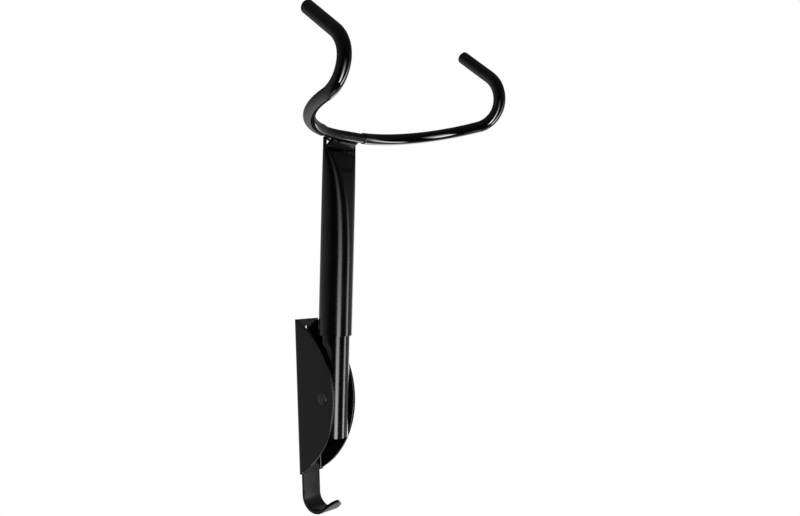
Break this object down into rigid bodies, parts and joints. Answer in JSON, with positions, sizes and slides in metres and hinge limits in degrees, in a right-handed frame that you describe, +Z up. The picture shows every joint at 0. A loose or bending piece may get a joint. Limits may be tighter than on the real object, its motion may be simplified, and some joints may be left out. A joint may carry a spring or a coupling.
{
  "type": "folding wall bike rack",
  "caption": "Folding wall rack for a bicycle: a tube arm on a narrow bracket with a strap hook folds down, and a U-shaped rod cradle with dipped grips holds the top tube",
  "frame": {"origin": "On the wall face of the bracket, behind the fold rivet, midway across", "axes": "+Z up the wall, +Y into the wall, +X to the right for someone who faces the wall"},
  "size_m": [0.2954, 0.2014, 0.5397],
  "materials": {
    "satin_paint": "satin black powder coat",
    "dipped_coat": "glossy black dipped vinyl",
    "black_steel": "blackened steel",
    "nylon": "dark nylon"
  },
  "bodies": {
    "bracket": {"wall_bracket": "satin_paint", "pivot_rivet": "black_steel", "pivot_washer_left": "nylon", "pivot_washer_right": "nylon"},
    "arm": {"pivot_tube": "satin_paint", "pivot_spacer": "black_steel", "swivel_screw": "black_steel", "swivel_rivet_nut": "black_steel"},
    "cradle": {"arm_sleeve": "satin_paint", "cradle_rod": "satin_paint", "cradle_grip_left": "dipped_coat", "cradle_grip_right": "dipped_coat", "weld_bead_lower": "satin_paint", "weld_bead_upper": "satin_paint"}
  },
  "joints": [
    {"name": "arm_fold", "type": "hinge", "parent": "bracket", "child": "arm", "pos_m": [0, -0.0421, 0], "axis": [1, 0, 0], "range_deg": [0, 65]},
    {"name": "cradle_swivel", "type": "hinge", "parent": "arm", "child": "cradle", "pos_m": [0, -0.0421, 0], "axis": [0, -0.0732, 0.9973], "range_deg": [-20, 20]}
  ]
}
